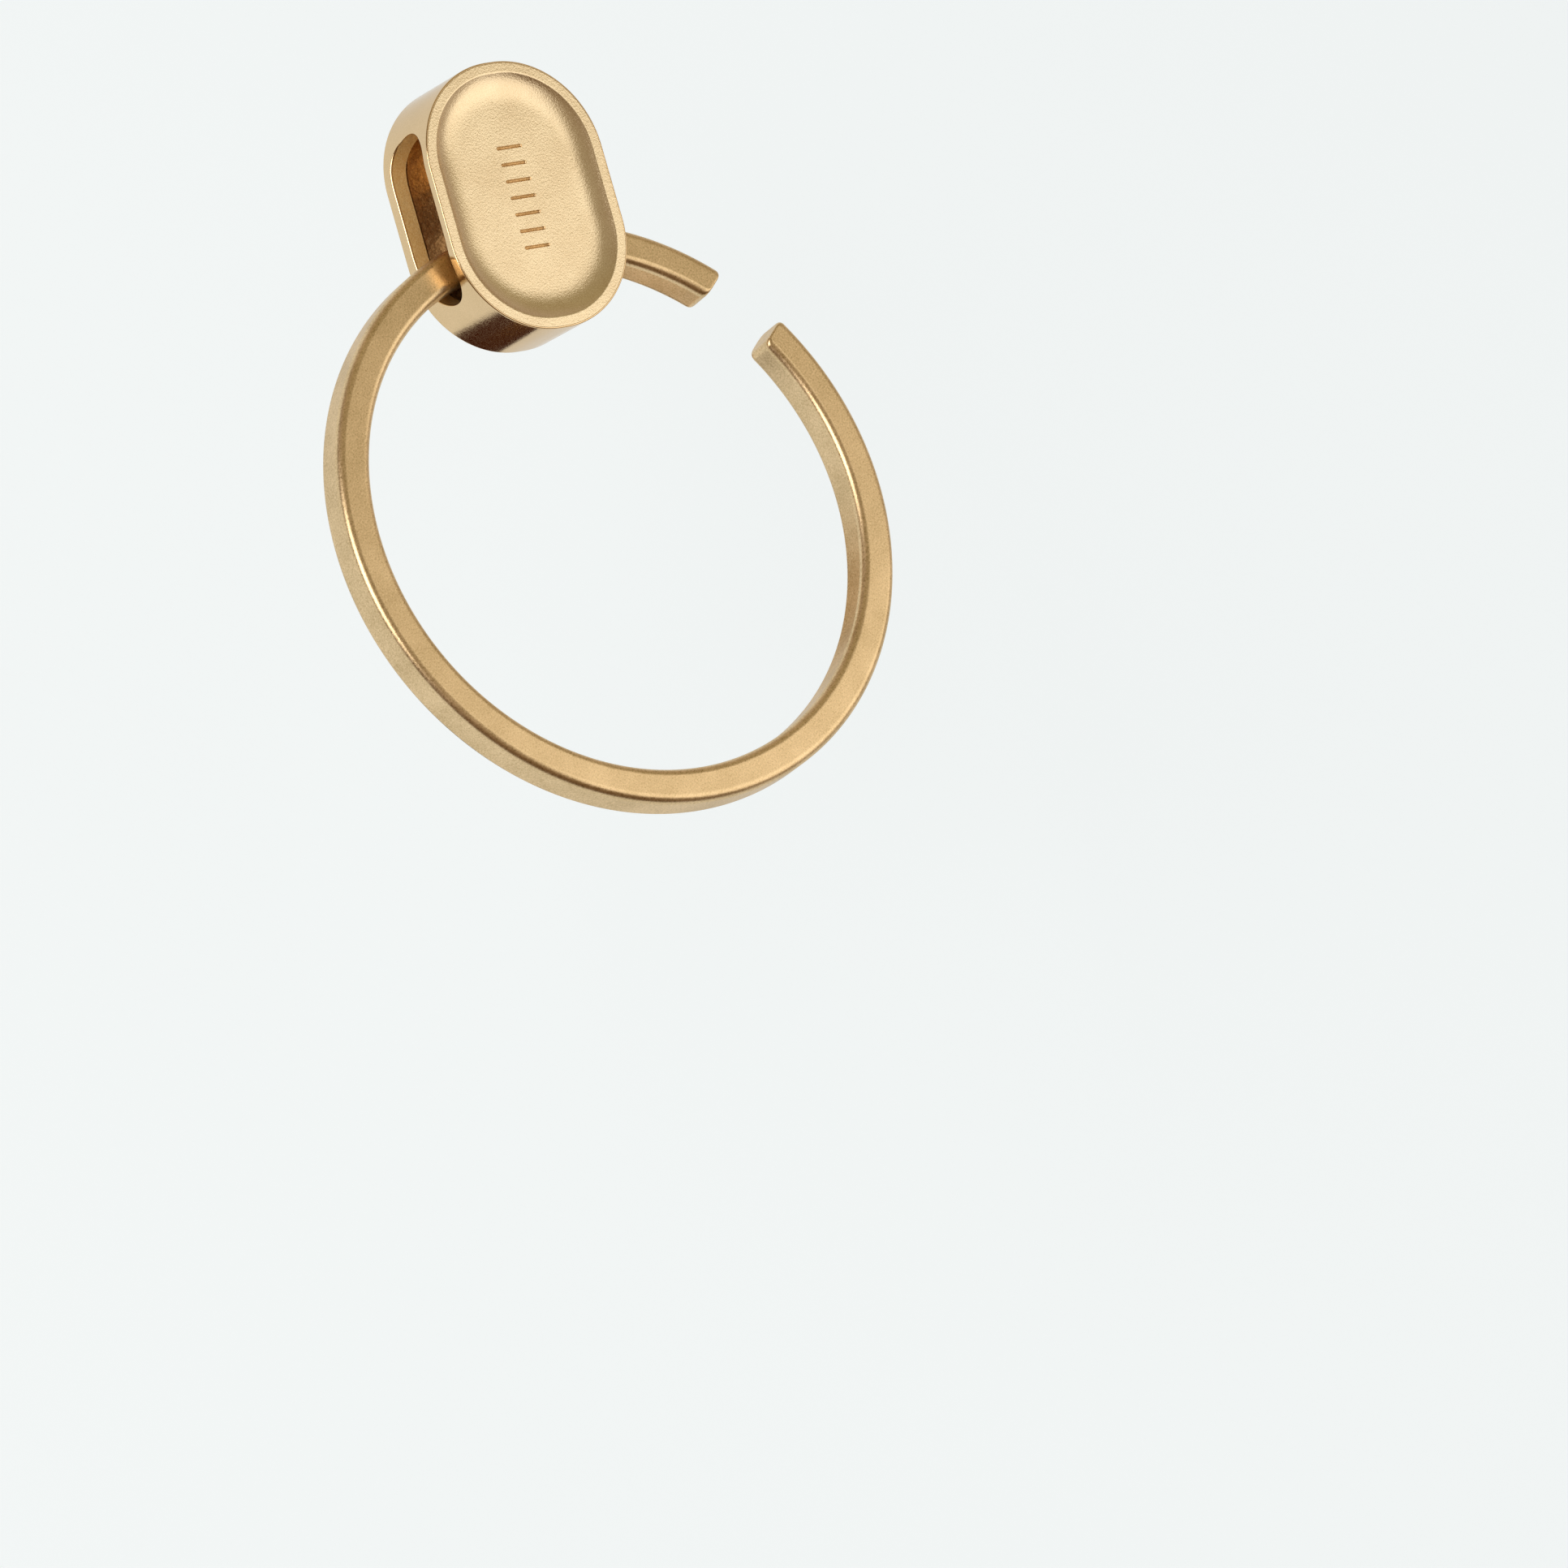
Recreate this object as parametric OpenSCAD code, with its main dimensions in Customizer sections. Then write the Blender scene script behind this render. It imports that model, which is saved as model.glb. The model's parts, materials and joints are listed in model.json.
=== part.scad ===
// Key ring: a C-shaped bar closed by a hollow slider that runs round it.
// Origin: centre of the ring. +Z is the ring's axis, towards the slider's front
// cover. +X runs through the middle of the gap between the bar's two ends.

/* [Ring bar] */
// Outside diameter of the ring
ring_od = 34; // [33:0.1:35]
// Width of the bar, along the ring's radius
bar_w = 2; // [1.8:0.05:2.05]
// Height of the bar, along the ring's axis
bar_h = 2.2; // [1.9:0.05:2.25]
// Radius on the bar's four long edges
bar_edge_r = 0.45; // [0.2:0.05:0.6]
// Width of the gap between the bar's two parallel ends
gap_w = 4.15; // [4.15:0.05:4.4]

/* [Slider shell] */
// Width of the slider, along the bar
slider_w = 11.45; // [11.3:0.05:12]
// Length of the slider, across the bar
slider_l = 15.25; // [15:0.05:16]
// Thickness of the slider, front face to back face
slider_t = 4.7; // [4.6:0.05:5]
// Corner radius of the slider's outline
slider_corner_r = 5.5; // [5:0.05:5.6]
// Wall thickness of the band
wall_t = 1; // [0.8:0.05:1.1]
// Width of the thin lip round each cover
lip_w = 0.18; // [0.15:0.01:0.3]

/* [Windows] */
// Width of the wide part of the window in each side
window_w = 3.4; // [3.2:0.05:3.5]
// Distance from the slider's middle to the window's outer end
window_top = 4.75; // [4.4:0.05:5]
// Width of the narrow, round inner end of the window
notch_w = 3.1; // [2.9:0.05:3.2]
// Distance from the slider's middle to the window's inner end
notch_depth = 4.92; // [4.8:0.02:5.2]
// Shift of the windows towards the front face
window_shift = 0.1; // [0:0.05:0.15]

/* [Covers] */
// Thickness of each cover at its rim
cover_t = 0.5; // [0.4:0.05:0.52]
// Width of the flat rim, from the slider's edge to the dish
rim_w = 0.68; // [0.6:0.02:0.9]
// Depth of the dish in each cover
dish_depth = 0.4; // [0.2:0.05:0.45]
// Width of the sloping wall of the dish
dish_wall_w = 1.3; // [0.8:0.1:1.8]
// Number of grip marks sunk in the front dish
mark_count = 7; // [3:1:9]

/* [Lock] */
// Width of the tooth that stands in the gap
tooth_w = 3.8; // [3:0.1:4]
// Gap between the tooth's tip and the bar's inner edge
tooth_clearance = 0.25; // [0.15:0.05:0.4]
// Travel of the slider when it is pressed inwards
press_travel = 2.7; // [2:0.1:2.7]
// Turns of the press spring
spring_turns = 7; // [5:0.5:7.5]

/* [Place of the slider] */
// Angle from the middle of the gap to the slider
slider_angle = 50.4; // [30:0.1:330]
// Distance from the ring's axis to the slider's middle
slider_r = 18.34; // [18.3:0.01:18.36]
// Height of the slider's middle above the ring's mid-plane
slider_lift = 0.33; // [0.28:0.01:0.36]
// Play: slider's outer end tipped towards the front
slider_pitch = 6.7; // [5.5:0.1:6.8]
// Play: slider turned about its long axis
slider_yaw = 1.9; // [1:0.1:2]
// Play: slider leaning along the bar
slider_roll = 0.4; // [0:0.1:0.8]

/* [Hidden] */
$fn = 96;
eps = 0.01;

bar_mid_r = (ring_od - bar_w) / 2;
bar_outer_r = ring_od / 2;

cover_gap = 0.03;            // all round, between a cover and its lip
cover_inset = lip_w + cover_gap;
bulge_inset = wall_t + 0.1;
floor_t = 0.37;              // what is left of a cover under its dish
ledge_z = slider_t / 2 - cover_t;
cavity_z = slider_t / 2 - dish_depth - floor_t;
rib_z = cavity_z - 0.02;

bar_y = bar_mid_r - slider_r;     // bar's middle, seen from the slider's middle
tooth_tip_y = bar_y - bar_w / 2 - tooth_clearance;

mark_pitch = 0.95;
mark_len = 1.5;
mark_w = 0.28;
mark_depth = 0.1;

plunger_gap = 0.06;          // running clearance on the bar's outer edge
foot_w = 6;
foot_top_y = -0.45;
stem_w = 3.8;
stem_top_y = 3.5;
plunger_z = cavity_z - 0.12;
rib_w = 0.6;
rib_x = stem_w / 2 + 0.1;
rib_low_y = foot_top_y + press_travel + 0.1;
seat_y = stem_top_y + press_travel + 0.1;

wire_r = 0.1;
coil_r = 0.85;
spring_bore_r = coil_r + wire_r + 0.1;
spring_low_y = -0.5;
wire_sides = 6;
steps_per_turn = 14;

brass = [0.82, 0.68, 0.44];
pale_brass = [0.88, 0.76, 0.54];
steel = [0.70, 0.70, 0.68];

// Moves children from the slider's own frame (x along the bar, y outwards,
// z to the front) to their place on the ring.
module on_slider()
    rotate([0, 0, slider_angle - 90])
        translate([0, slider_r, slider_lift])
            rotate([slider_pitch, slider_yaw, slider_roll])
                children();

module rounded_outline(w, l, r) {
    square([w - 2 * r, l], center = true);
    square([w, l - 2 * r], center = true);
    for (x = [-1, 1], y = [-1, 1])
        translate([x * (w / 2 - r), y * (l / 2 - r)])
            circle(r = r);
}

// The slider's outline drawn in by inset, from z_low to z_high
module slider_slab(inset, z_low, z_high)
    translate([0, 0, z_low])
        linear_extrude(z_high - z_low)
            rounded_outline(slider_w - 2 * inset, slider_l - 2 * inset,
                            slider_corner_r - inset);

// Keyhole outline of the windows: x runs to the slider's back, y outwards
module window_outline() {
    notch_y = notch_w / 2 - notch_depth;
    top_y = window_top - window_w / 2;
    translate([-window_shift, 0]) {
        translate([0, top_y])
            circle(d = window_w);
        translate([-window_w / 2, notch_y])
            square([window_w, top_y - notch_y]);
        translate([0, notch_y])
            circle(d = notch_w);
    }
}

// Dish with sloping walls, its rim at z = 0, opening upwards
module dish_cutter() {
    cx = slider_w / 2 - slider_corner_r;
    cy = slider_l / 2 - slider_corner_r;
    r_rim = slider_corner_r - rim_w;
    r_floor = r_rim - dish_wall_w;
    for (x = [-cx, cx], y = [-cy, cy])
        translate([x, y, -dish_depth])
            cylinder(h = dish_depth, r1 = r_floor, r2 = r_rim);
    rotate([90, 0, 0])
        linear_extrude(2 * cy, center = true)
            polygon([[-cx - r_floor, -dish_depth], [cx + r_floor, -dish_depth],
                     [cx + r_rim, 0], [-cx - r_rim, 0]]);
    rotate([90, 0, 90])
        linear_extrude(2 * cx, center = true)
            polygon([[-cy - r_floor, -dish_depth], [cy + r_floor, -dish_depth],
                     [cy + r_rim, 0], [-cy - r_rim, 0]]);
    slider_slab(rim_w, -eps, 1);
}

// One cover, with its outer face at the front of the slider
module cover_plate()
    difference() {
        union() {
            slider_slab(cover_inset, ledge_z, slider_t / 2);
            slider_slab(bulge_inset, cavity_z, ledge_z + eps);
        }
        translate([0, 0, slider_t / 2])
            dish_cutter();
    }

// Plain grip marks: a column of short rounded grooves across the dish floor
module grip_marks()
    for (i = [0 : mark_count - 1])
        translate([0, (i - (mark_count - 1) / 2) * mark_pitch,
                   slider_t / 2 - dish_depth - mark_depth]) {
            translate([-mark_len / 2, -mark_w / 2, 0])
                cube([mark_len, mark_w, 1]);
            for (x = [-1, 1])
                translate([x * mark_len / 2, 0, 0])
                    cylinder(h = 1, d = mark_w);
        }

module ring_bar()
    color(brass)
        difference() {
            rotate_extrude($fn = 180)
                translate([bar_mid_r, 0])
                    rounded_outline(bar_w, bar_h, bar_edge_r);
            translate([0, -gap_w / 2, -bar_h])
                cube([ring_od, gap_w, 2 * bar_h]);
        }

module slider_band()
    color(pale_brass) on_slider() {
        difference() {
            slider_slab(0, -slider_t / 2, slider_t / 2);
            slider_slab(wall_t, -slider_t, slider_t);
            slider_slab(lip_w, ledge_z, slider_t);
            slider_slab(lip_w, -slider_t, -ledge_z);
            rotate([0, 90, 0])
                linear_extrude(slider_w + 1, center = true)
                    window_outline();
        }
        intersection() {
            union() {
                for (x = [-rib_x - rib_w, rib_x])
                    translate([x, rib_low_y, -rib_z])
                        cube([rib_w, slider_l, 2 * rib_z]);
                translate([-rib_x - eps, seat_y, -rib_z])
                    cube([2 * (rib_x + eps), slider_l, 2 * rib_z]);
            }
            slider_slab(wall_t - 0.1, -slider_t / 2, slider_t / 2);
        }
    }

module front_cover()
    color(pale_brass) on_slider()
        difference() {
            cover_plate();
            grip_marks();
        }

module back_cover()
    color(pale_brass) on_slider()
        rotate([0, 180, 0])
            cover_plate();

module lock_tooth()
    color(steel) on_slider()
        intersection() {
            slider_slab(wall_t + eps, -rib_z, rib_z);
            translate([-tooth_w / 2, -slider_l / 2, -rib_z])
                cube([tooth_w, tooth_tip_y + slider_l / 2, 2 * rib_z]);
        }

module spring_plunger()
    color(steel)
        difference() {
            on_slider() difference() {
                union() {
                    translate([-foot_w / 2, bar_y, -plunger_z])
                        cube([foot_w, foot_top_y - bar_y, 2 * plunger_z]);
                    translate([-stem_w / 2, bar_y, -plunger_z])
                        cube([stem_w, stem_top_y - bar_y, 2 * plunger_z]);
                }
                translate([0, spring_low_y, 0])
                    rotate([-90, 0, 0])
                        cylinder(h = slider_l, r = spring_bore_r);
            }
            cylinder(h = 20, r = bar_outer_r + plunger_gap, center = true, $fn = 360);
        }

// A round wire wound along +Z: points in rings, joined in order
module coil(height, turns) {
    steps = ceil(turns * steps_per_turn);
    rise = height - 2 * wire_r;
    points = [for (i = [0 : steps], k = [0 : wire_sides - 1])
        let (a = 360 * turns * i / steps, b = 360 * k / wire_sides,
             r = coil_r + wire_r * cos(b))
        [r * cos(a), r * sin(a), wire_r + rise * i / steps + wire_r * sin(b)]];
    side_faces = [for (i = [0 : steps - 1], k = [0 : wire_sides - 1])
        let (n = (k + 1) % wire_sides, p = i * wire_sides, q = p + wire_sides)
        [p + k, q + k, q + n, p + n]];
    first_end = [for (k = [0 : wire_sides - 1]) k];
    last_end = [for (k = [wire_sides - 1 : -1 : 0]) steps * wire_sides + k];
    polyhedron(points, concat(side_faces, [first_end, last_end]));
}

module press_spring()
    color(steel) on_slider()
        translate([0, spring_low_y + 0.02, 0])
            rotate([-90, 0, 0])
                coil(seat_y - spring_low_y - 0.04, spring_turns);

ring_bar();
slider_band();
front_cover();
back_cover();
lock_tooth();
spring_plunger();
press_spring();
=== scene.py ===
"""Key ring with a sliding lock: finer meshes, materials, light and camera round the frame."""
import json
import math

import bmesh
import bpy
from mathutils import Matrix, Vector


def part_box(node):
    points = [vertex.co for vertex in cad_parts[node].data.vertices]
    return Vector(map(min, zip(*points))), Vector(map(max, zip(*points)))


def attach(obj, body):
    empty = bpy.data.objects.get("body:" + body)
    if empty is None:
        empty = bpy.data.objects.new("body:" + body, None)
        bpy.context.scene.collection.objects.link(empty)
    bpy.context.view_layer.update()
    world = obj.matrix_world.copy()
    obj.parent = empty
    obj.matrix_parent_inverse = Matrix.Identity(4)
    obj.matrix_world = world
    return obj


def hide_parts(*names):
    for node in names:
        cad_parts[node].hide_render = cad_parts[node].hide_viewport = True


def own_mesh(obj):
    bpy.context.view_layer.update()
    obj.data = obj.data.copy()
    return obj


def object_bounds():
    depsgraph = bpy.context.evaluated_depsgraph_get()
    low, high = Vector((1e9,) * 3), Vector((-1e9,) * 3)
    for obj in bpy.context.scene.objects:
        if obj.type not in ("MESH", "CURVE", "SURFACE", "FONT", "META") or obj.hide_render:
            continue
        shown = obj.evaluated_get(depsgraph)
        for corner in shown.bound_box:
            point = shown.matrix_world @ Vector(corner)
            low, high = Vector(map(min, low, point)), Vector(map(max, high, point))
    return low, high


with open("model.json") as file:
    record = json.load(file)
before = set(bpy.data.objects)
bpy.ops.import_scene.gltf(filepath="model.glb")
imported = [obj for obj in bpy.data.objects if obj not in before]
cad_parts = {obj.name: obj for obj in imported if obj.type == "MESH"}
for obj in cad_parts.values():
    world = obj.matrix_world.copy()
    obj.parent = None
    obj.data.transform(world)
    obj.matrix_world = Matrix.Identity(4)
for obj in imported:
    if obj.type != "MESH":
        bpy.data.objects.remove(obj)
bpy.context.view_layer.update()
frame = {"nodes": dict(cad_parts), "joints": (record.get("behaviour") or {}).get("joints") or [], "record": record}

MM = 0.001                   # meshes are built in millimetres and placed in metres

# Slider, in its own frame: x along the bar, y outwards, z to the front
CORNER_R = 5.5               # of the outline
WALL = 1.0                   # of the band
LIP = 0.10                   # thin lip round each cover
COVER_T = 0.5                # cover at its rim
COVER_GAP = 0.007            # between cover and lip
RIM = 0.68                   # flat rim, from the slider's edge to the dish
DISH_DEPTH = 0.42
DISH_WALL = 1.85             # width of the dish's curved wall
DISH_BEND = 2.9              # how early the wall flattens out
FLOOR_T = 0.31               # of a cover, under its dish
BAND_EDGE_R = 0.08           # rounding of the lip's outer edge
RIM_EDGE_R = 0.012           # rounding of the cover's outer edge
HOLD = 0.04                  # narrow strip beside a rounding that keeps the face beyond it flat

# Keyhole windows in the slider's narrow sides
WINDOW_W = 3.4               # of the wide part
WINDOW_TOP = 4.75            # outer end, from the slider's middle
NOTCH_W = 3.1                # of the narrow inner end
NOTCH_BOTTOM = -4.92         # inner end, from the slider's middle
WINDOW_SHIFT = 0.1           # towards the front
WINDOW_EDGE_R = 0.13         # rounding at the outer surface

# Bar
BAR_EDGE_R = 0.45
END_CORNER_R = 0.36          # of the ends, seen along the ring's axis
END_EDGE_R = 0.10            # of the ends' front and back edges

# Grip marks in the front dish
MARKS = 7
MARK_PITCH = 0.95
MARK_LEN = 1.5
MARK_W = 0.2
MARK_DEPTH = 0.09

# Lock
TOOTH_W = 3.8
TOOTH_CLEARANCE = 0.25       # from the tooth's tip to the bar
TOOTH_PLAY = 0.01            # from the tooth to the band's inner wall
PRESS_TRAVEL = 2.7
STOP_GAP = 0.1               # left above the plunger when the slider is pressed home
FOOT_W = 6.0                 # plunger's foot, which rides on the bar
FOOT_TOP = -0.45
BAR_PLAY = 0.06              # from the foot to the bar
STEM_W = 3.8                 # plunger's stem, which holds the spring
STEM_TOP = 3.5
LOCK_HALF_T = 1.56           # of tooth and ribs, half their thickness
PLUNGER_HALF_T = 1.46
LOCK_BEVEL = 0.1             # on the edges of tooth and plunger
RIB_X = 2.0                  # a rib's side next to the plunger's stem
RIB_W = 0.6
RIB_LOW = FOOT_TOP + PRESS_TRAVEL + STOP_GAP
SEAT_Y = STEM_TOP + PRESS_TRAVEL + STOP_GAP
SPRING_LOW = -0.5            # bottom of the spring's bore
SPRING_PLAY = 0.02           # at each end of the spring
BORE_PLAY = 0.1              # round the spring
COIL_R = 0.85                # to the middle of the wire
WIRE_R = 0.1
SPRING_TURNS = 7
CLOSED_TURNS = 0.75          # at each end of the spring


def points_of(node):
    """A CAD node's vertices at rest, in the row frame, in millimetres."""
    piece = frame["nodes"][node]
    return [piece.matrix_world @ v.co / MM for v in piece.data.vertices]


def slider_axes():
    """The slider's own axes: y against the press joint, z against the back rim's outward normal."""
    press = next(j for j in frame["joints"] if j["name"] == "slider_press")
    rim = next(m for m in frame["record"]["mounts"] if m["name"] == "slider_back_rim")
    y = -Vector(press["axis"]).normalized()
    z = -Vector(rim["axis"]).normalized()
    x = y.cross(z).normalized()
    return x, y, x.cross(y)


def slider_place():
    """The band's size, and the matrix from the slider's frame (mm) to the row frame (m)."""
    axes = slider_axes()
    spans = [[p.dot(a) for p in points_of("slider_band")] for a in axes]
    size = [max(s) - min(s) for s in spans]
    middle = sum(((max(s) + min(s)) / 2 * a for s, a in zip(spans, axes)), Vector())
    turn = Matrix(axes).transposed().to_4x4()
    return size, Matrix.Translation(middle * MM) @ turn @ Matrix.Scale(MM, 4)


(SLIDER_W, SLIDER_L, SLIDER_T), SLIDER = slider_place()
SLIDER_R = (Vector((SLIDER.translation.x, SLIDER.translation.y)) / MM).length
ROW = Matrix.Scale(MM, 4)

bar_points = points_of("ring_bar")
BAR_OUTER = max(math.hypot(p.x, p.y) for p in bar_points)
BAR_INNER = min(math.hypot(p.x, p.y) for p in bar_points)
BAR_W = BAR_OUTER - BAR_INNER
BAR_MID = (BAR_OUTER + BAR_INNER) / 2
BAR_H = (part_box("ring_bar")[1][2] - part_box("ring_bar")[0][2]) / MM
GAP_W = 2 * min(abs(p.y) for p in bar_points if p.x > 0)


# ---------------------------------------------------------------- mesh helpers

def arc(centre, radius, start, end, steps):
    """Points of an arc in the plane, angles in degrees, both ends included."""
    out = []
    for i in range(steps + 1):
        a = math.radians(start + (end - start) * i / steps)
        out.append((centre[0] + radius * math.cos(a), centre[1] + radius * math.sin(a)))
    return out


def outline(inset, corner_steps=40, long_steps=16, short_steps=4):
    """The slider's outline drawn in by inset, anticlockwise from the right side's upper end."""
    cx = SLIDER_W / 2 - CORNER_R
    cy = SLIDER_L / 2 - CORNER_R
    r = max(CORNER_R - inset, 0.02)
    points = []
    for sx, sy, start in ((1, 1, 0), (-1, 1, 90), (-1, -1, 180), (1, -1, 270)):
        corner = arc((sx * cx, sy * cy), r, start, start + 90, corner_steps)
        points += corner
        steps = long_steps if start in (90, 270) else short_steps
        last = Vector(corner[-1])
        next_x, next_y = {0: (-cx, cy), 90: (-cx, -cy), 180: (cx, -cy), 270: (cx, cy)}[start]
        turn = math.radians(start + 90)
        first = Vector((next_x + r * math.cos(turn), next_y + r * math.sin(turn)))
        points += [tuple(last.lerp(first, k / steps)) for k in range(1, steps)]
    return points


def loft(rings, closed=False, caps=True):
    """A mesh through rings of points, each ring closed; closed joins the last ring to the first."""
    mesh = bmesh.new()
    rows = [[mesh.verts.new(p) for p in ring] for ring in rings]
    count = len(rows[0])
    pairs = list(zip(rows, rows[1:]))
    if closed:
        pairs.append((rows[-1], rows[0]))
    for low, high in pairs:
        for i in range(count):
            j = (i + 1) % count
            mesh.faces.new((low[i], low[j], high[j], high[i]))
    if caps and not closed:
        mesh.faces.new(list(reversed(rows[0])))
        mesh.faces.new(rows[-1])
    bmesh.ops.recalc_face_normals(mesh, faces=mesh.faces)
    return mesh


def to_object(name, mesh):
    data = bpy.data.meshes.new(name)
    mesh.to_mesh(data)
    mesh.free()
    piece = bpy.data.objects.new(name, data)
    bpy.context.scene.collection.objects.link(piece)
    return piece


def combine(piece, operation, *tools):
    """piece with the tools cut away or joined on, by the exact solver; the tools are deleted."""
    for tool in tools:
        step = piece.modifiers.new("combine", "BOOLEAN")
        step.operation = operation
        step.solver = "EXACT"
        step.object = tool
    bpy.context.view_layer.update()
    evaluated = piece.evaluated_get(bpy.context.evaluated_depsgraph_get())
    result = bpy.data.meshes.new_from_object(evaluated)
    piece.modifiers.clear()
    old = piece.data
    piece.data = result
    result.name = piece.name
    bpy.data.meshes.remove(old)
    for tool in tools:
        bpy.data.objects.remove(tool)
    return piece


def smooth(piece, angle=32):
    """Smooth shading with sharp corners kept and flat faces left flat."""
    piece.data.shade_smooth()
    piece.data.set_sharp_from_angle(angle=math.radians(angle))
    weighted = piece.modifiers.new("weighted_normals", "WEIGHTED_NORMAL")
    weighted.mode = "FACE_AREA_WITH_ANGLE"
    weighted.weight = 80
    weighted.keep_sharp = True
    return piece


def place(piece, matrix, body, node, material, inner=None, inner_material=None):
    """inner says of a face's centre whether the face takes inner_material.
    """
    piece.data.materials.clear()
    piece.data.materials.append(material)
    if inner:
        piece.data.materials.append(inner_material)
        for face in piece.data.polygons:
            face.material_index = int(inner(face.center))
    piece.data.transform(matrix)
    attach(piece, body)
    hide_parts(node)
    return piece


def prism(name, points, half, bevel=0.0):
    """A closed solid with this outline in x and y, from z = -half to half, sharp edges softened."""
    mesh = loft([[(x, y, z) for x, y in points] for z in (-half, half)])
    if bevel:
        sharp = [e for e in mesh.edges if e.calc_face_angle(0) > math.radians(40)]
        bmesh.ops.bevel(mesh, geom=sharp, offset=bevel, segments=3, profile=0.5, affect="EDGES")
    return to_object(name, mesh)


def block(name, low, high, bevel):
    """A closed box from low to high with softened edges."""
    mesh = bmesh.new()
    bmesh.ops.create_cube(mesh, size=1)
    size = [h - l for l, h in zip(low, high)]
    middle = [(h + l) / 2 for l, h in zip(low, high)]
    bmesh.ops.transform(mesh, verts=mesh.verts,
                        matrix=Matrix.Translation(middle) @ Matrix.Diagonal((*size, 1)))
    bmesh.ops.bevel(mesh, geom=mesh.edges[:], offset=bevel, segments=3, profile=0.5, affect="EDGES")
    return to_object(name, mesh)


# ------------------------------------------------------------------- the bar

def beside(point, direction):
    """The point a short way off in this direction, in degrees."""
    a = math.radians(direction)
    return point[0] + HOLD * math.cos(a), point[1] + HOLD * math.sin(a)


def bar_section(narrow=0.0, low=0.0):
    """The bar's rounded section as (radius, z), less narrow and low on each side."""
    corner_x = BAR_W / 2 - narrow - BAR_EDGE_R
    corner_z = BAR_H / 2 - low - BAR_EDGE_R
    points = []
    for sx, sz, start in ((1, 1, 0), (-1, 1, 90), (-1, -1, 180), (1, -1, 270)):
        corner = arc((sx * corner_x, sz * corner_z), BAR_EDGE_R, start, start + 90, 10)
        points += [beside(corner[0], start - 90), *corner, beside(corner[-1], start + 180)]
    return [(BAR_MID + x, z) for x, z in points]


def drawn_in(radius, distance):
    """How far a rounding of this radius draws a side in at this distance from the end."""
    left = max(radius - distance, 0)
    return radius - math.sqrt(radius ** 2 - left ** 2)


def bar_end(side, distance):
    """The section parallel to the gap's middle plane, at this distance from the bar's end."""
    section = bar_section(drawn_in(END_CORNER_R, distance), drawn_in(END_EDGE_R, distance))
    y = GAP_W / 2 + distance
    return [(math.sqrt(r ** 2 - y ** 2), side * y, z) for r, z in section]


def make_bar():
    """The C-shaped bar: its section swept round the ring, with parallel, softly rounded ends."""
    reach = 0.9                  # of the parallel sections at each end
    margin = 0.5                 # degrees between them and the first radial section
    steps = 340
    distances = [END_EDGE_R * (1 - math.cos(math.radians(90 * k / 4))) for k in range(4)]
    distances += [END_EDGE_R + (END_CORNER_R - END_EDGE_R) * k / 6 for k in range(7)]
    distances += [reach]
    start = math.degrees(math.asin((GAP_W / 2 + reach) / BAR_INNER)) + margin
    rings = [bar_end(1, d) for d in distances]
    for i in range(steps + 1):
        a = math.radians(start + (360 - 2 * start) * i / steps)
        rings.append([(r * math.cos(a), r * math.sin(a), z) for r, z in bar_section()])
    rings += [bar_end(-1, d) for d in reversed(distances)]
    return smooth(to_object("key_ring_bar", loft(rings)))


# ---------------------------------------------------------------- the slider

def side_x(y):
    """Half-width of the slider's outer surface at height y."""
    cy = SLIDER_L / 2 - CORNER_R
    over = max(abs(y) - cy, 0)
    return SLIDER_W / 2 - CORNER_R + math.sqrt(max(CORNER_R ** 2 - over ** 2, 0))


def wall_y(x, inset):
    """Distance from the slider's middle to its outline, drawn in by inset, at this x."""
    over = max(abs(x) - (SLIDER_W / 2 - CORNER_R), 0)
    return SLIDER_L / 2 - CORNER_R + math.sqrt((CORNER_R - inset) ** 2 - over ** 2)


def inset_of(point):
    """How far a point lies inside the slider's outline."""
    over_x = max(abs(point[0]) - (SLIDER_W / 2 - CORNER_R), 0)
    over_y = max(abs(point[1]) - (SLIDER_L / 2 - CORNER_R), 0)
    return CORNER_R - math.hypot(over_x, over_y)


def window_points():
    """The keyhole window as (y, z, outward y, outward z), round from the narrow end's back side."""
    top_y = WINDOW_TOP - WINDOW_W / 2
    low_y = NOTCH_BOTTOM + NOTCH_W / 2
    arc_steps = 48
    side_steps = 24
    shares = [k / side_steps for k in range(1, side_steps)]

    def side_point(share, side):
        """A point of a long side, which widens over its first quarter."""
        half = NOTCH_W / 2 + (WINDOW_W - NOTCH_W) / 2 * min(1, share * 4)
        return low_y + (top_y - low_y) * share, side * half, 0, side

    points = [(low_y + NOTCH_W / 2 * y, NOTCH_W / 2 * z, y, z)
              for z, y in arc((0, 0), 1, -180, 0, arc_steps)]
    points += [side_point(share, 1) for share in shares]
    points += [(top_y + WINDOW_W / 2 * y, WINDOW_W / 2 * z, y, z)
               for z, y in arc((0, 0), 1, 0, 180, arc_steps)]
    points += [side_point(share, -1) for share in reversed(shares)]
    return [(y, z + WINDOW_SHIFT, ny, nz) for y, z, ny, nz in points]


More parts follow.
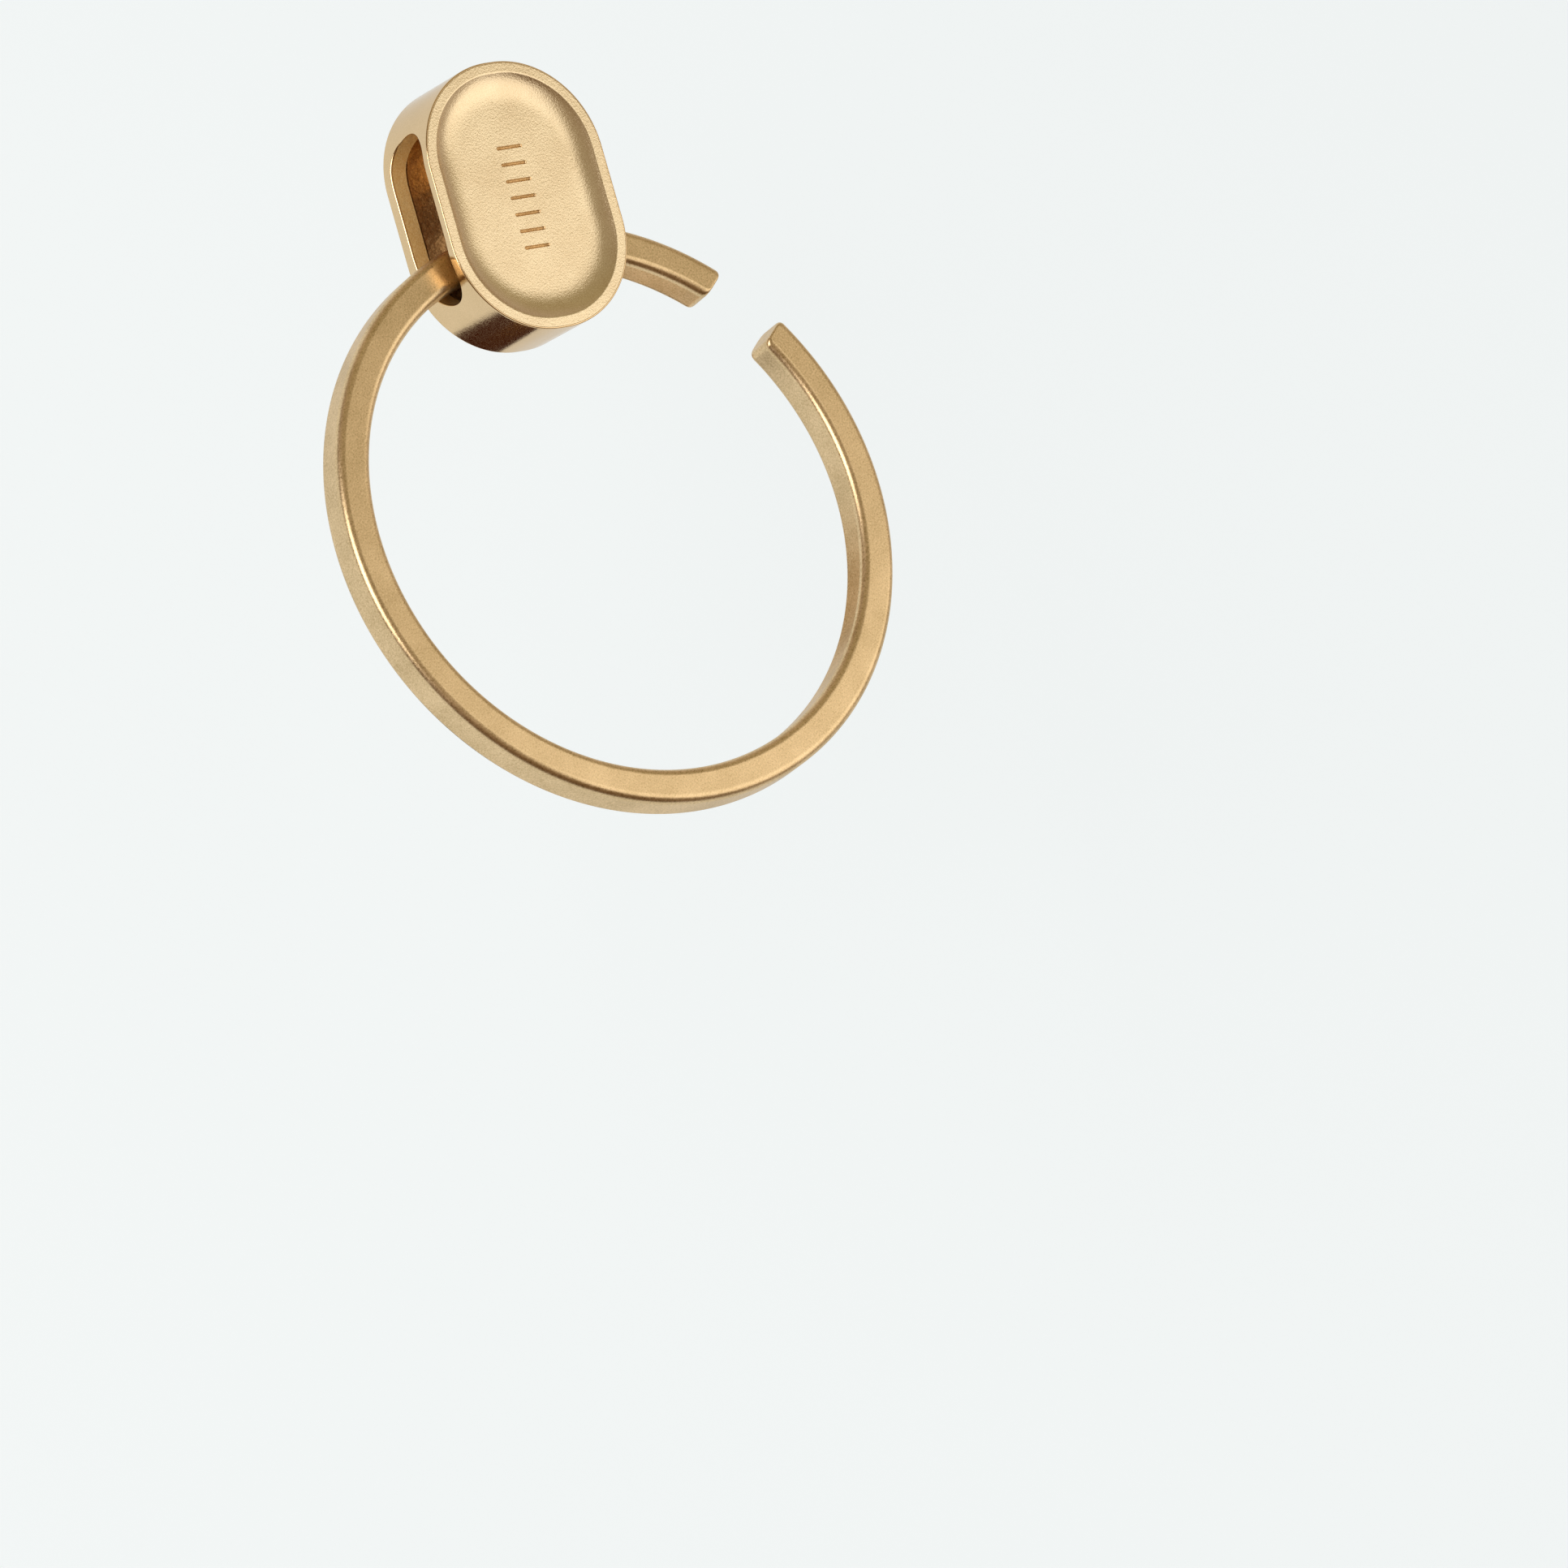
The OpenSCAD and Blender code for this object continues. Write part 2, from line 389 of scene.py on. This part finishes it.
def window_tool(side):
    """A cutter for one window, flared at the outer surface so that the cut edge is rounded."""
    def ring(offset, depth=None, x=None):
        out = []
        for y, z, ny, nz in window_points():
            y = y + ny * offset
            z = z + nz * offset
            out.append((side * (x if x is not None else side_x(y) - depth), y, z))
        return out

    r = WINDOW_EDGE_R
    inside = 3.0                 # x of the cutter's inner end, within the hollow
    end = math.radians(80)       # of the rounding; the flare then goes straight on
    reach = 2 * r                # of the flare
    rings = [ring(0, x=inside)]
    for a in (end * k / 6 for k in range(7)):
        rings.append(ring(r * (1 - math.cos(a)), depth=r * (1 - math.sin(a))))
    flare = r * (1 - math.cos(end)) + reach * math.sin(end)
    rings.append(ring(flare, depth=r * (1 - math.sin(end)) - reach * math.cos(end)))
    rings.append(ring(flare, x=SLIDER_W / 2 + 1))
    return to_object("window_tool", loft(rings))


def band_profile():
    """The band's wall as a closed loop of (inset from the outline, z)."""
    top = SLIDER_T / 2
    ledge = top - COVER_T
    e = BAND_EDGE_R
    lip_round = 0.012            # of the lip's edge towards the cover
    chamfer = 0.04               # of the ledge's inner edge
    half = [(0, 0), (0, top - e - HOLD)]
    half += [(e - e * math.cos(a), top - e + e * math.sin(a))
             for a in (math.radians(90 * k / 6) for k in range(7))]
    half += [(LIP - lip_round + lip_round * math.sin(a), top - lip_round + lip_round * math.cos(a))
             for a in (math.radians(90 * k / 3) for k in range(4))]
    half += [(LIP, ledge), (WALL - chamfer, ledge), (WALL, ledge - chamfer)]
    lower = [(d, -z) for d, z in reversed(half[1:])]
    return half + lower


def rib_points():
    """The ribs that guide the plunger's stem and the spring's seat between them, in one outline."""
    far = RIB_X + RIB_W
    sunk = 0.05                  # into the wall
    points = [(-far, RIB_LOW), (-RIB_X, RIB_LOW), (-RIB_X, SEAT_Y),
              (RIB_X, SEAT_Y), (RIB_X, RIB_LOW), (far, RIB_LOW)]
    return points + [(x, wall_y(x, WALL - sunk)) for x in (far * (1 - k / 10) for k in range(21))]


def make_band():
    """The side band with its lips, the ribs inside and a window through each narrow side."""
    rings = [[(x, y, z) for x, y in outline(d)] for d, z in band_profile()]
    band = to_object("slider_side_band", loft(rings, closed=True))
    combine(band, "UNION", prism("ribs", rib_points(), LOCK_HALF_T))
    return combine(band, "DIFFERENCE", window_tool(1), window_tool(-1))


def dish_profile():
    """The dish from the flat rim inwards, as (inset, depth)."""
    steps = 18
    return [(RIM + DISH_WALL * k / steps, DISH_DEPTH * (1 - (1 - k / steps) ** DISH_BEND))
            for k in range(steps + 1)]


def make_cover(name):
    """A cover with its outer face to the front: flat rim, curved dish wall, flat floor."""
    top = SLIDER_T / 2
    ledge = top - COVER_T
    under = top - DISH_DEPTH - FLOOR_T
    inset = LIP + COVER_GAP
    e = RIM_EDGE_R
    middle = 4.6                 # inset of the innermost ring, which the flat floor closes
    sunk = WALL + 0.1            # inset of the part that stands inside the band
    roll_w, roll_h = 0.06, 0.02  # soft edge between the rim and the dish
    profile = [(middle, under), (sunk, under), (sunk, ledge), (inset, ledge)]
    profile += [(inset + e - e * math.cos(a), top - e + e * math.sin(a))
                for a in (math.radians(90 * k / 4) for k in range(5))]
    profile += [(inset + e + HOLD, top), (RIM - roll_w - HOLD, top), (RIM - roll_w, top),
                (RIM - roll_w / 3, top - 0.4 * roll_h)]
    profile += [(d, top - roll_h - z * (1 - roll_h / DISH_DEPTH)) for d, z in dish_profile()]
    profile += [(middle, top - DISH_DEPTH)]
    rings = [[(x, y, z) for x, y in outline(d)] for d, z in profile]
    return to_object(name, loft(rings))


def mark_tool(index):
    """One grip mark: a short groove with round ends and a rounded bottom."""
    y = (index - (MARKS - 1) / 2) * MARK_PITCH
    floor = SLIDER_T / 2 - DISH_DEPTH
    half = MARK_LEN / 2
    r = MARK_W / 2

    def ring(shrink, z):
        right = arc((half, 0), r - shrink, -90, 90, 12)
        left = arc((-half, 0), r - shrink, 90, 270, 12)
        return [(px, py + y, z) for px, py in right + left]

    bottom = ((0.75, 1), (0.4, 0.85), (0.1, 0.4), (0, 0))     # shares of radius lost and of depth
    rings = [ring(r * lost, floor - MARK_DEPTH * depth) for lost, depth in bottom]
    rings.append(ring(-0.05, floor + 0.06))                   # clear of the dish floor
    return to_object("mark_tool", loft(rings))


def make_front_cover():
    """The front cover with its grip marks."""
    cover = make_cover("front_cover_plate")
    return smooth(combine(cover, "DIFFERENCE", *[mark_tool(i) for i in range(MARKS)]), angle=40)


def make_back_cover():
    """The back cover: the front one turned over, without marks."""
    cover = make_cover("back_cover_plate")
    cover.data.transform(Matrix.Rotation(math.pi, 4, "Y"))
    return smooth(cover, angle=40)


# --------------------------------------------------------------- the lock

def make_tooth():
    """The tooth: a block on the band's inner end wall, whose outer side follows that wall."""
    tip = BAR_MID - SLIDER_R - BAR_W / 2 - TOOTH_CLEARANCE
    half = TOOTH_W / 2
    points = [(half, tip), (-half, tip)]
    points += [(x, -wall_y(x, WALL + TOOTH_PLAY)) for x in (half * (k - 8) / 8 for k in range(17))]
    return smooth(prism("lock_tooth_block", points, LOCK_HALF_T, LOCK_BEVEL))


def make_plunger():
    """The saddle that rides on the bar, with a bored stem for the spring."""
    half = PLUNGER_HALF_T
    bar_y = BAR_MID - SLIDER_R
    foot = block("spring_saddle",
                 (-FOOT_W / 2, bar_y, -half), (FOOT_W / 2, FOOT_TOP, half), LOCK_BEVEL)
    stem = block("stem", (-STEM_W / 2, bar_y, -half), (STEM_W / 2, STEM_TOP, half), LOCK_BEVEL)
    combine(foot, "UNION", stem)
    bore_circle = arc((0, 0), COIL_R + WIRE_R + BORE_PLAY, 0, 352.5, 47)
    bore = to_object("bore", loft([[(x, y, z) for x, z in bore_circle]
                                   for y in (SPRING_LOW, STEM_TOP + 1)]))
    bar_circle = arc((0, 0), BAR_OUTER + BAR_PLAY, 0, 359, 359)
    bar_mesh = loft([[(x, y, z) for x, y in bar_circle] for z in (-8, 8)])
    bar_mesh.transform(SLIDER.inverted() @ ROW)
    bar_space = to_object("bar_space", bar_mesh)
    return smooth(combine(foot, "DIFFERENCE", bore, bar_space))


def make_spring():
    """The press spring: a round wire wound from the plunger's bore to its seat, ends closed."""
    low = SPRING_LOW + SPRING_PLAY + WIRE_R
    rise = SEAT_Y - SPRING_PLAY - WIRE_R - low
    end_rise = 2 * WIRE_R * CLOSED_TURNS
    steps_per_turn = 40
    sides = 12

    def height(turn):
        """Height of the wire's middle after this many turns."""
        left = SPRING_TURNS - turn
        if turn < CLOSED_TURNS:
            return low + end_rise * turn / CLOSED_TURNS
        if left < CLOSED_TURNS:
            return low + rise - end_rise * left / CLOSED_TURNS
        share = (turn - CLOSED_TURNS) / (SPRING_TURNS - 2 * CLOSED_TURNS)
        return low + end_rise + (rise - 2 * end_rise) * share

    rings = []
    for i in range(SPRING_TURNS * steps_per_turn + 1):
        turn = i / steps_per_turn
        a = 2 * math.pi * turn
        section = arc((COIL_R, height(turn)), WIRE_R, 0, 360, sides)[:sides]
        rings.append([(r * math.cos(a), y, r * math.sin(a)) for r, y in section])
    return smooth(to_object("press_spring_coil", loft(rings)))


# ---------------------------------------------------------------- materials

def shader_graph(name):
    material = bpy.data.materials.new(name)
    material.use_nodes = True
    nodes = material.node_tree.nodes
    nodes.clear()
    output = nodes.new("ShaderNodeOutputMaterial")
    shader = nodes.new("ShaderNodeBsdfPrincipled")
    material.node_tree.links.new(shader.outputs["BSDF"], output.inputs["Surface"])
    return material, shader


def noise(nodes, link, place_in, size, detail, roughness=0.5):
    """A noise texture whose features measure about size millimetres."""
    texture = nodes.new("ShaderNodeTexNoise")
    texture.inputs["Scale"].default_value = 1 / (size * MM)
    texture.inputs["Detail"].default_value = detail
    texture.inputs["Roughness"].default_value = roughness
    link(place_in.outputs["Object"], texture.inputs["Vector"])
    return texture.outputs["Fac"]


def blasted_metal(name, dark, light, roughness, ripple, grain, metallic=1.0):
    """Blasted metal, mottled between two colours, with a soft ripple and a fine grain on it.

    ripple and grain are each (strength, size in millimetres).
    """
    relief = 0.35                # depth of ripple and grain, as a share of their size
    mottle_size = 2.4
    spread = 0.05                # of the roughness, either way
    ripple_strength, ripple_size = ripple
    grain_strength, grain_size = grain
    material, shader = shader_graph(name)
    nodes = material.node_tree.nodes
    link = material.node_tree.links.new
    shader.inputs["Metallic"].default_value = metallic
    shader.inputs["Specular Tint"].default_value = (0.86, 0.82, 0.78, 1)
    place_in = nodes.new("ShaderNodeTexCoord")
    mottle = noise(nodes, link, place_in, mottle_size, 3)
    wave = noise(nodes, link, place_in, ripple_size, 1)
    speck = noise(nodes, link, place_in, grain_size, 2, 0.7)

    level = nodes.new("ShaderNodeMix")
    level.inputs["Factor"].default_value = 0.7
    link(mottle, level.inputs["A"])
    link(speck, level.inputs["B"])
    ramp = nodes.new("ShaderNodeValToRGB")
    ramp.color_ramp.elements[0].position = 0.36
    ramp.color_ramp.elements[0].color = (*dark, 1)
    ramp.color_ramp.elements[1].position = 0.64
    ramp.color_ramp.elements[1].color = (*light, 1)
    link(level.outputs["Result"], ramp.inputs["Fac"])
    link(ramp.outputs["Color"], shader.inputs["Base Color"])

    rough = nodes.new("ShaderNodeMapRange")
    rough.inputs["From Min"].default_value = 0.3
    rough.inputs["From Max"].default_value = 0.7
    rough.inputs["To Min"].default_value = roughness - spread
    rough.inputs["To Max"].default_value = roughness + spread
    link(speck, rough.inputs["Value"])
    link(rough.outputs["Result"], shader.inputs["Roughness"])

    low = nodes.new("ShaderNodeBump")
    low.inputs["Strength"].default_value = ripple_strength
    low.inputs["Distance"].default_value = ripple_size * relief * MM
    link(wave, low.inputs["Height"])
    fine = nodes.new("ShaderNodeBump")
    fine.inputs["Strength"].default_value = grain_strength
    fine.inputs["Distance"].default_value = grain_size * relief * MM
    link(speck, fine.inputs["Height"])
    link(low.outputs["Normal"], fine.inputs["Normal"])
    link(fine.outputs["Normal"], shader.inputs["Normal"])
    return material


bar_brass = blasted_metal("bar_brass", (0.53, 0.38, 0.195), (0.85, 0.635, 0.38), 0.32,
                          ripple=(0.03, 0.25), grain=(0.09, 0.10))
band_brass = blasted_metal("band_brass", (0.69, 0.50, 0.28), (0.78, 0.57, 0.335), 0.13,
                           ripple=(0.03, 0.3), grain=(0.08, 0.08))
cover_brass = blasted_metal("cover_brass", (0.66, 0.51, 0.320), (0.825, 0.68, 0.46), 0.26,
                            ripple=(0.21, 0.11), grain=(0.26, 0.07))
# Rough as-cast finish for the band's cut faces and inside, its amber brightened and made partly diffuse to paint
# in the light these faces reflect
cast_brass_painted_light = blasted_metal("cast_brass_painted_light", (0.80, 0.49, 0.17), (1.0, 0.75, 0.36), 0.45,
                           ripple=(0.30, 0.2), grain=(0.35, 0.09), metallic=0.25)
# Darker copy of the cover brass for the covers' inner faces: painted shade inside the slider's hollow
painted_shade_brass = blasted_metal("painted_shade_brass", (0.42, 0.24, 0.10), (0.76, 0.47, 0.215), 0.40,
                            ripple=(0.40, 0.35), grain=(0.30, 0.09))
lock_steel = blasted_metal("lock_steel", (0.38, 0.36, 0.33), (0.50, 0.48, 0.45), 0.35,
                           ripple=(0.05, 0.3), grain=(0.2, 0.1))
spring_steel = blasted_metal("spring_steel", (0.45, 0.44, 0.42), (0.55, 0.54, 0.52), 0.25,
                             ripple=(0.02, 0.2), grain=(0.1, 0.06))


# ------------------------------------------------------------------- pieces

place(make_bar(), ROW, "ring", "ring_bar", bar_brass)
LEDGE = SLIDER_T / 2 - COVER_T
# The band's cut faces and inside take the brightened amber brass, partly painted light
place(smooth(make_band()), SLIDER, "slider", "slider_band", band_brass,
      lambda c: inset_of(c) > WINDOW_EDGE_R + 0.02 and abs(c[2]) < LEDGE, cast_brass_painted_light)
# The covers' inner faces take the darker brass, which paints in the shade inside the hollow
place(make_front_cover(), SLIDER, "slider", "front_cover", cover_brass,
      lambda c: c[2] < LEDGE + 0.01, painted_shade_brass)
place(make_back_cover(), SLIDER, "slider", "back_cover", cover_brass,
      lambda c: c[2] > -LEDGE - 0.01, painted_shade_brass)
place(make_tooth(), SLIDER, "slider", "lock_tooth", lock_steel)
place(make_plunger(), SLIDER, "plunger", "spring_plunger", lock_steel)
spring = place(make_spring(), SLIDER, "plunger", "press_spring", spring_steel)
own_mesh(spring)


# ------------------------------------------------------- floor, light, camera

def make_floor():
    """A plain pale floor, well below the object so that no shadow gathers round it."""
    drop = 45                    # below the object's lowest point
    mesh = bmesh.new()
    bmesh.ops.create_grid(mesh, x_segments=2, y_segments=2, size=1.5)
    bmesh.ops.translate(mesh, verts=mesh.verts, vec=(0, 0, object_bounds()[0][2] - drop * MM))
    floor = to_object("floor", mesh)
    material, shader = shader_graph("floor_paper")
    shader.inputs["Base Color"].default_value = (0.40, 0.41, 0.405, 1)
    shader.inputs["Roughness"].default_value = 0.9
    shader.inputs["Specular IOR Level"].default_value = 0.0
    shader.inputs["Emission Color"].default_value = (0.870, 0.948, 1.0, 1)
    shader.inputs["Emission Strength"].default_value = 0.688
    floor.data.materials.append(material)


def area_light(name, azimuth, elevation, distance, size, power, colour=(1, 1, 1)):
    """A soft light aimed at the ring's centre, placed by azimuth from +X and elevation."""
    a = math.radians(azimuth)
    e = math.radians(elevation)
    away = Vector((math.cos(a) * math.cos(e), math.sin(a) * math.cos(e), math.sin(e)))
    data = bpy.data.lights.new(name, "AREA")
    data.shape = "RECTANGLE"
    data.size = size[0]
    data.size_y = size[1]
    data.energy = power
    data.color = colour
    lamp = bpy.data.objects.new(name, data)
    lamp.location = away * distance
    lamp.rotation_euler = away.to_track_quat("Z", "Y").to_euler()
    bpy.context.scene.collection.objects.link(lamp)


def make_flag(name, middle, size, direction, tone):
    """A card under the object that only reflections show; tone is its colour in them."""
    level = -38                  # of the cards, between object and floor
    mesh = bmesh.new()
    bmesh.ops.create_grid(mesh, x_segments=1, y_segments=1, size=0.5)
    stretch = Matrix.Diagonal((size[0] * MM, size[1] * MM, 1, 1))
    turn = Matrix.Rotation(math.radians(direction), 4, "Z")
    bmesh.ops.transform(mesh, verts=mesh.verts, matrix=turn @ stretch)
    bmesh.ops.translate(mesh, verts=mesh.verts, vec=Vector((*middle, level)) * MM)
    flag = to_object(name, mesh)
    flag.visible_camera = False
    flag.visible_diffuse = False
    flag.visible_shadow = False
    material, shader = shader_graph(name + "_cloth")
    shader.inputs["Base Color"].default_value = (0.02, 0.01, 0.006, 1)
    shader.inputs["Roughness"].default_value = 0.9
    shader.inputs["Specular IOR Level"].default_value = 0.0
    shader.inputs["Emission Color"].default_value = (*tone, 1)
    shader.inputs["Emission Strength"].default_value = 1.0
    flag.data.materials.append(material)


def make_camera():
    """Long lens at the viewing angle, rolled so that the slider stands at the upper left."""
    heading = math.radians(-18.93)     # of the view direction, from +X
    tilt = math.radians(54.08)         # below the horizon
    roll = math.radians(53.38)
    forward = Vector((math.cos(heading) * math.cos(tilt), math.sin(heading) * math.cos(tilt),
                      -math.sin(tilt)))
    level_right = forward.cross(Vector((0, 0, 1))).normalized()
    level_up = level_right.cross(forward)
    right = level_right * math.cos(roll) + level_up * math.sin(roll)
    up = right.cross(forward)
    distance = 529.45
    ring_left = 9.38                   # the ring's centre stands left of the view's middle,
    ring_above = 14.56                 # and above it
    place_at = (-forward * distance + right * ring_left - up * ring_above) * MM
    data = bpy.data.cameras.new("camera")
    data.sensor_width = 36
    data.lens = 223.6
    data.clip_start = 0.01
    data.clip_end = 5
    camera = bpy.data.objects.new("camera", data)
    turn = Matrix((right, up, -forward)).transposed().to_4x4()
    camera.matrix_world = Matrix.Translation(place_at) @ turn
    bpy.context.scene.collection.objects.link(camera)
    bpy.context.scene.camera = camera


make_camera()
make_floor()
area_light("key", -59.5, 50, 0.24, (0.208, 0.210), 0.160)
area_light("strip", 131, 34, 0.40, (0.24, 0.24), 0.80)
make_flag("slider_flag", (-2.6, -7.4), (27, 10), -26.3, (0.04, 0.008, 0.002))
make_flag("end_card", (-2.3, -18.1), (20, 9), -26.3, (0.70, 0.47, 0.22))
make_flag("warm_card", (17.5, 10), (21, 12), -45, (0.40, 0.22, 0.02))


def make_world():
    """Studio surround, darker towards -X; the camera itself sees plain pale."""
    world = bpy.data.worlds.new("studio")
    bpy.context.scene.world = world
    world.use_nodes = True
    nodes = world.node_tree.nodes
    link = world.node_tree.links.new
    surround = nodes["Background"]
    place_in = nodes.new("ShaderNodeTexCoord")
    split = nodes.new("ShaderNodeSeparateXYZ")
    link(place_in.outputs["Generated"], split.inputs["Vector"])
    shade = nodes.new("ShaderNodeMix")
    shade.data_type = "RGBA"
    turn = nodes.new("ShaderNodeMapRange")
    turn.inputs["From Min"].default_value = -0.3
    turn.inputs["From Max"].default_value = 0.45
    link(split.outputs["X"], turn.inputs["Value"])
    link(turn.outputs["Result"], shade.inputs["Factor"])
    rise = nodes.new("ShaderNodeMapRange")
    rise.inputs["From Min"].default_value = -1
    link(split.outputs["Z"], rise.inputs["Value"])
    # Colours by height, 0 straight down, 0.5 at the horizon and 1 straight up
    dark_side = [(0.30, (0.80, 0.78, 0.76)), (0.46, (0.18, 0.10, 0.05)),
                 (0.66, (0.14, 0.08, 0.04)), (0.82, (0.17, 0.09, 0.03)), (1.0, (0.42, 0.34, 0.24))]
    light_side = [(0.30, (0.80, 0.78, 0.76)), (0.50, (0.60, 0.52, 0.44)),
                  (0.62, (0.52, 0.43, 0.34)), (0.82, (0.42, 0.35, 0.20)),
                  (1.0, (0.42, 0.365, 0.255))]
    colour_a, colour_b, colour_out = 6, 7, 2        # the Mix node's colour sockets
    for side, socket in ((dark_side, colour_a), (light_side, colour_b)):
        ramp = nodes.new("ShaderNodeValToRGB")
        while len(ramp.color_ramp.elements) < len(side):
            ramp.color_ramp.elements.new(0.5)
        for element, (position, colour) in zip(ramp.color_ramp.elements, side):
            element.position = position
            element.color = (*colour, 1)
        link(rise.outputs["Result"], ramp.inputs["Fac"])
        link(ramp.outputs["Color"], shade.inputs[socket])
    link(shade.outputs[colour_out], surround.inputs["Color"])
    pale = nodes.new("ShaderNodeBackground")
    pale.inputs["Color"].default_value = (0.88, 0.90, 0.89, 1)
    kind = nodes.new("ShaderNodeLightPath")
    either = nodes.new("ShaderNodeMixShader")
    link(kind.outputs["Is Camera Ray"], either.inputs["Fac"])
    link(surround.outputs["Background"], either.inputs[1])
    link(pale.outputs["Background"], either.inputs[2])
    link(either.outputs["Shader"], nodes["World Output"].inputs["Surface"])


make_world()
bpy.context.scene.view_settings.view_transform = "Standard"
